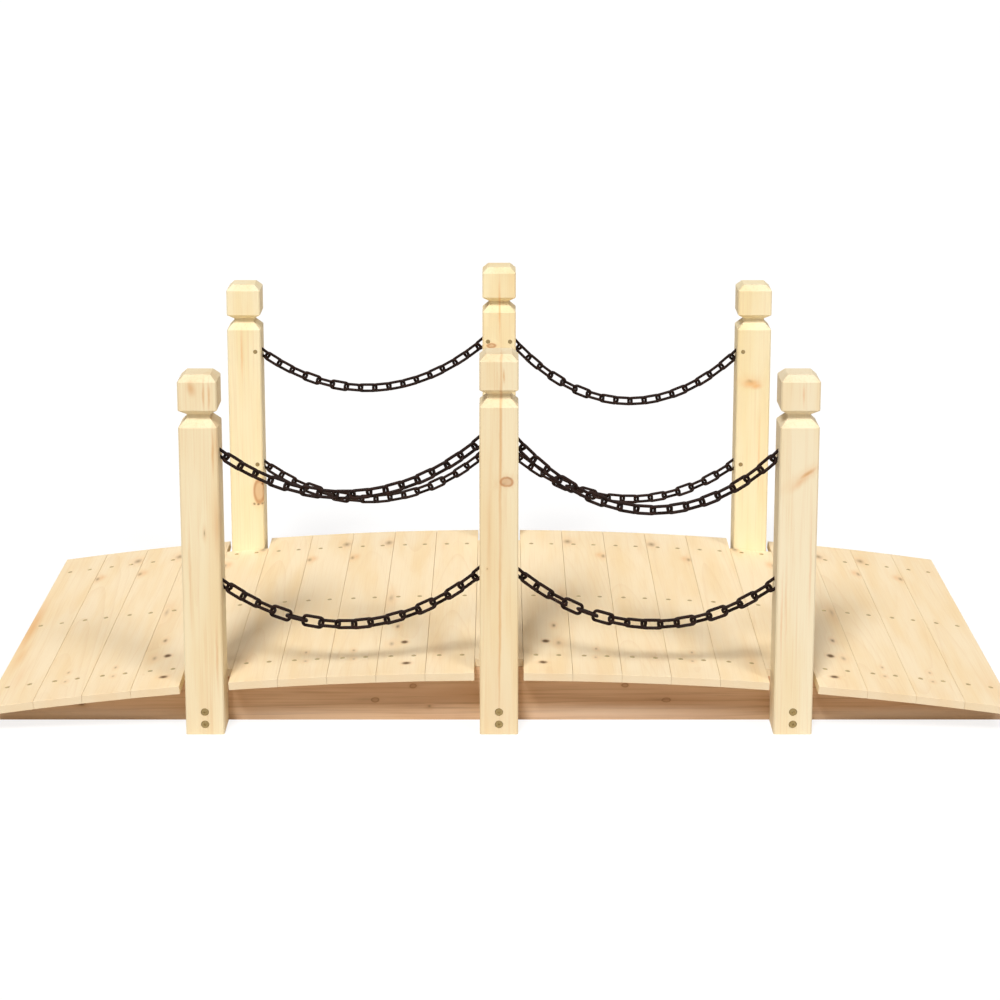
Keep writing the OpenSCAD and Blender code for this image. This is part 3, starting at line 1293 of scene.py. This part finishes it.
@dataclass
class Studio:
    """A white floor, two large soft lamps, an even sky and the camera.

    Attributes:
        floor_size: Side of the floor.
        paper: Colour of the floor to the light that it throws back.
        shade: Colour in which the floor shows its shadows to the eye.
        glow: White that the floor adds to that, to the eye.
        sky: Strength of the sky's light.
        sky_tint: Colour of that light.
        lamps: The lamps, to the left and to the right of the front.
        camera_place: Where the camera stands.
        camera_pitch: How far it looks down, in degrees.
        lens_mm: Its focal length.
        sensor_mm: Width of its sensor.
        shift: How far its frame is moved up, or down where negative, as a share of its width.
    """

    floor_size: float = 40.0
    paper: str = "#D8D2CA"
    shade: str = "#828282"
    glow: float = 0.82
    sky: float = 0.22
    sky_tint: str = "#FFE4D0"
    lamps: tuple[Lamp, ...] = (
        Lamp("key_lamp", strength=2.36, turn=16.0, height=50.0, spread=15.0),
        Lamp("fill_lamp", strength=0.8, turn=-40.0, height=50.0, spread=14.0),
    )
    camera_place: tuple[float, float, float] = (0.0015, -3.5713, 1.3633)
    camera_pitch: float = 11.197
    lens_mm: float = 84.615
    sensor_mm: float = 36.0
    shift: float = -0.25

    def build(self) -> None:
        """Builds the whole studio."""
        bpy.context.scene.view_settings.view_transform = "Standard"
        self.build_floor()
        self.build_sky()
        for lamp in self.lamps:
            lamp.build()
        self.build_camera()

    def seen(self, g: Graph) -> bpy.types.Node:
        """Tells the rays that show something to the eye from those that light.

        Args:
            g: The tree of a material or a world.

        Returns:
            A node that is 1 for rays that show the picture or a reflection, and 0 for rays that light.
        """
        path = g.add("ShaderNodeLightPath").outputs
        shown = g.add(
            "ShaderNodeMath",
            {0: path["Is Camera Ray"], 1: path["Is Glossy Ray"]},
            operation="MAXIMUM",
        )
        return g.add("ShaderNodeMath", {0: shown, 1: path["Is Transmission Ray"]}, operation="MAXIMUM")

    def build_floor(self) -> None:
        """Builds the floor: white to the eye, with a faint shadow, and a plain matt white to the light."""
        shape = bmesh.new()
        bmesh.ops.create_grid(shape, x_segments=1, y_segments=1, size=self.floor_size / 2)
        floor = mesh_object("studio_floor", shape)
        material = bpy.data.materials.new("matt_white_paper")
        g = Graph(material)
        paper = g.add("ShaderNodeBsdfDiffuse", {"Color": linear(self.paper)})
        shade = g.add("ShaderNodeBsdfDiffuse", {"Color": linear(self.shade)})
        glow = g.add("ShaderNodeEmission", {"Color": linear(WHITE), "Strength": self.glow})
        white = g.add("ShaderNodeAddShader", {0: shade, 1: glow})
        shader = g.add("ShaderNodeMixShader", {0: self.seen(g), 1: paper, 2: white})
        g.add("ShaderNodeOutputMaterial", {"Surface": shader})
        dress(floor, material)

    def build_sky(self) -> None:
        """Builds an even sky that is white to the eye."""
        world = bpy.data.worlds.new("studio_sky")
        bpy.context.scene.world = world
        g = Graph(world)
        seen = self.seen(g)
        strength = g.add("ShaderNodeMapRange", {"Value": seen, "To Min": self.sky, "To Max": 1.0})
        colour = g.add(
            "ShaderNodeMix",
            {"Factor": seen, "A": linear(self.sky_tint), "B": linear(WHITE)},
            data_type="RGBA",
        )
        light = g.add("ShaderNodeBackground", {"Color": colour, "Strength": strength})
        g.add("ShaderNodeOutputWorld", {"Surface": light})

    def build_camera(self) -> None:
        """Builds the camera at the photograph's viewing angle."""
        lens = bpy.data.cameras.new("camera")
        lens.lens = self.lens_mm
        lens.sensor_width = self.sensor_mm
        lens.shift_y = self.shift
        camera = new_object("camera", lens)
        camera.location = self.camera_place
        camera.rotation_euler = (math.radians(90 - self.camera_pitch), 0, 0)
        bpy.context.scene.camera = camera


def post_timbers() -> dict[str, PostTimber]:
    """Chooses the timber of each post.

    Returns:
        What each post is made of, by its node.
    """
    dead, stain = KnotKind.DEAD, KnotKind.STAIN
    honey = PlanedSpruce(early="#F3E7C4", warm="#EEDAAF", heart="#DDB27E", end_share=0.1, fibre_share=0.3)
    pale = PlanedSpruce(early="#F3E8C9", warm="#F0DFB8", heart="#E3B078", end_share=0.1, fibre_share=0.3)
    # The rear posts' timber is brighter than the front posts': partly their own tone, and partly painted
    # light standing in for the brighter light on the rear posts.
    yellow = PlanedSpruce(early="#F7EDCA", warm="#F4E4B6", end_share=0.1, fibre_share=0.25)
    cream = PlanedSpruce(early="#F8EEC7", warm="#F3E0B2", end_share=0.1, fibre_share=0.3)
    low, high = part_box("front_left_post")
    back = Knot(6, 300, 6, 8, through=(high.y - low.y) * PER_M, deep=20)
    return {
        "front_left_post": PostTimber(
            honey,
            (
                Knot(9.5, 512, 3, 34, stain),
                Knot(17, 510, 2.8, 34, stain),
                Knot(-8, 522, 9, 17, stain, lean=-12),
                Knot(24, 318, 8, 80, stain, tone=0.7),
                Knot(6, 307, 1.8, 7, dead, tone=0.4),
                Knot(21, 430, 3, 55, stain),
                Knot(25, 440, 6, 60, stain, tone=0.6),
                Knot(20, 120, 3, 80, stain, tone=0.8),
                Knot(0, 40, 40, 80, stain, tone=0.3),
                Knot(-16, 240, 3, 120, stain, tone=0.6),
                back,
            ),
        ),
        "front_centre_post": PostTimber(
            honey,
            (
                Knot(11, 384, 10.5, 8),
                Knot(15, 390, 5, 2.2, dead, deep=20, tone=0.2),
                Knot(7, 381, 4.5, 2.6, dead, deep=20, tone=0.18),
                Knot(2.6, 460, 3.2, 300, stain, lean=0.4),
                Knot(1.2, 160, 3.2, 300, stain, lean=0.4),
                Knot(-17, 254, 1.6, 1.8, dead, deep=20, tone=0.4),
                Knot(7, 540, 2.6, 16, stain),
                Knot(-14, 300, 6, 160, stain, tone=0.5),
                Knot(0, 30, 45, 170, stain, tone=0.45),
                back,
            ),
        ),
        "front_right_post": PostTimber(
            pale,
            (
                Knot(2, 384, 9, 34, stain, deep=20, tone=0.6, lean=45),
                Knot(12, 396, 5, 21, stain, deep=20, lean=52),
                Knot(13, 397, 2.6, 13, dead, deep=20, tone=0.16, lean=56),
                Knot(-20, 170, 2.6, 120, stain, tone=0.6),
                Knot(-14, 190, 2.4, 120, stain, tone=0.5),
                Knot(20, 250, 3, 130, stain, tone=0.5),
                Knot(4, 512, 2.6, 26, stain, tone=0.7),
                back,
            ),
        ),
        "rear_left_post": PostTimber(
            yellow,
            (
                Knot(21, 182, 11, 24, deep=14),
                Knot(12, 160, 3.6, 3.2, dead, tone=0.6),
                Knot(19, 159, 3.6, 2.8, dead, tone=0.6),
                Knot(26, 160, 3.6, 2.8, dead, deep=14, tone=0.5),
                Knot(26, 195, 3, 3, dead, deep=14, tone=0.6),
                Knot(-4, 420, 3, 70, stain, tone=0.7),
            ),
        ),
        "rear_centre_post": PostTimber(
            cream,
            (
                Knot(-13, 437, 9, 4.5, tone=0.7),
                Knot(1, 500, 3, 70, stain),
                back,
            ),
        ),
        "rear_right_post": PostTimber(
            yellow,
            (
                Knot(-3, 371, 22, 11, stain),
                Knot(-6, 375, 9, 4.5, dead, tone=0.22),
                Knot(4, 367, 16, 9, stain),
                Knot(12, 240, 3, 120, stain, tone=0.6),
            ),
        ),
    }


def main() -> None:
    """Builds the studio, then dresses the bridge from the ground up."""
    logging.basicConfig(level=logging.INFO, format="%(name)s %(message)s")
    nodes = sorted(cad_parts)
    Studio().build()
    stringers = Stringers(
        PlanedSpruce(
            early="#E4C09A",
            warm="#D6AD86",
            late="#9C6E48",
            heart="#B98A5F",
            # Colour of the painted light along the stringers' low edge and ends.
            painted_light="#F6DEC4",
            live="#9C7249",
            ring_mm=11.0,
            ring_share=0.45,
            fibre_mm=3.5,
            fibre_share=0.5,
        ),
        [n for n in nodes if n.endswith("_stringer")],
    )
    stringers.build()
    boards = [n for n in nodes if n.startswith("deck_board_")]
    deck_screws = PassivatedSteel(bright="#CDB98A", dark="#A8925F")
    Deck(Arch.of_boards(boards), PlanedSpruce(), deck_screws, stringers.rows()).build()
    Posts(post_timbers(), PassivatedSteel()).build()
    ChainRails(CoatedSteel(), PassivatedSteel(bright="#C2AD80", dark="#8F7B52")).build()


if __name__ == "__main__":
    main()
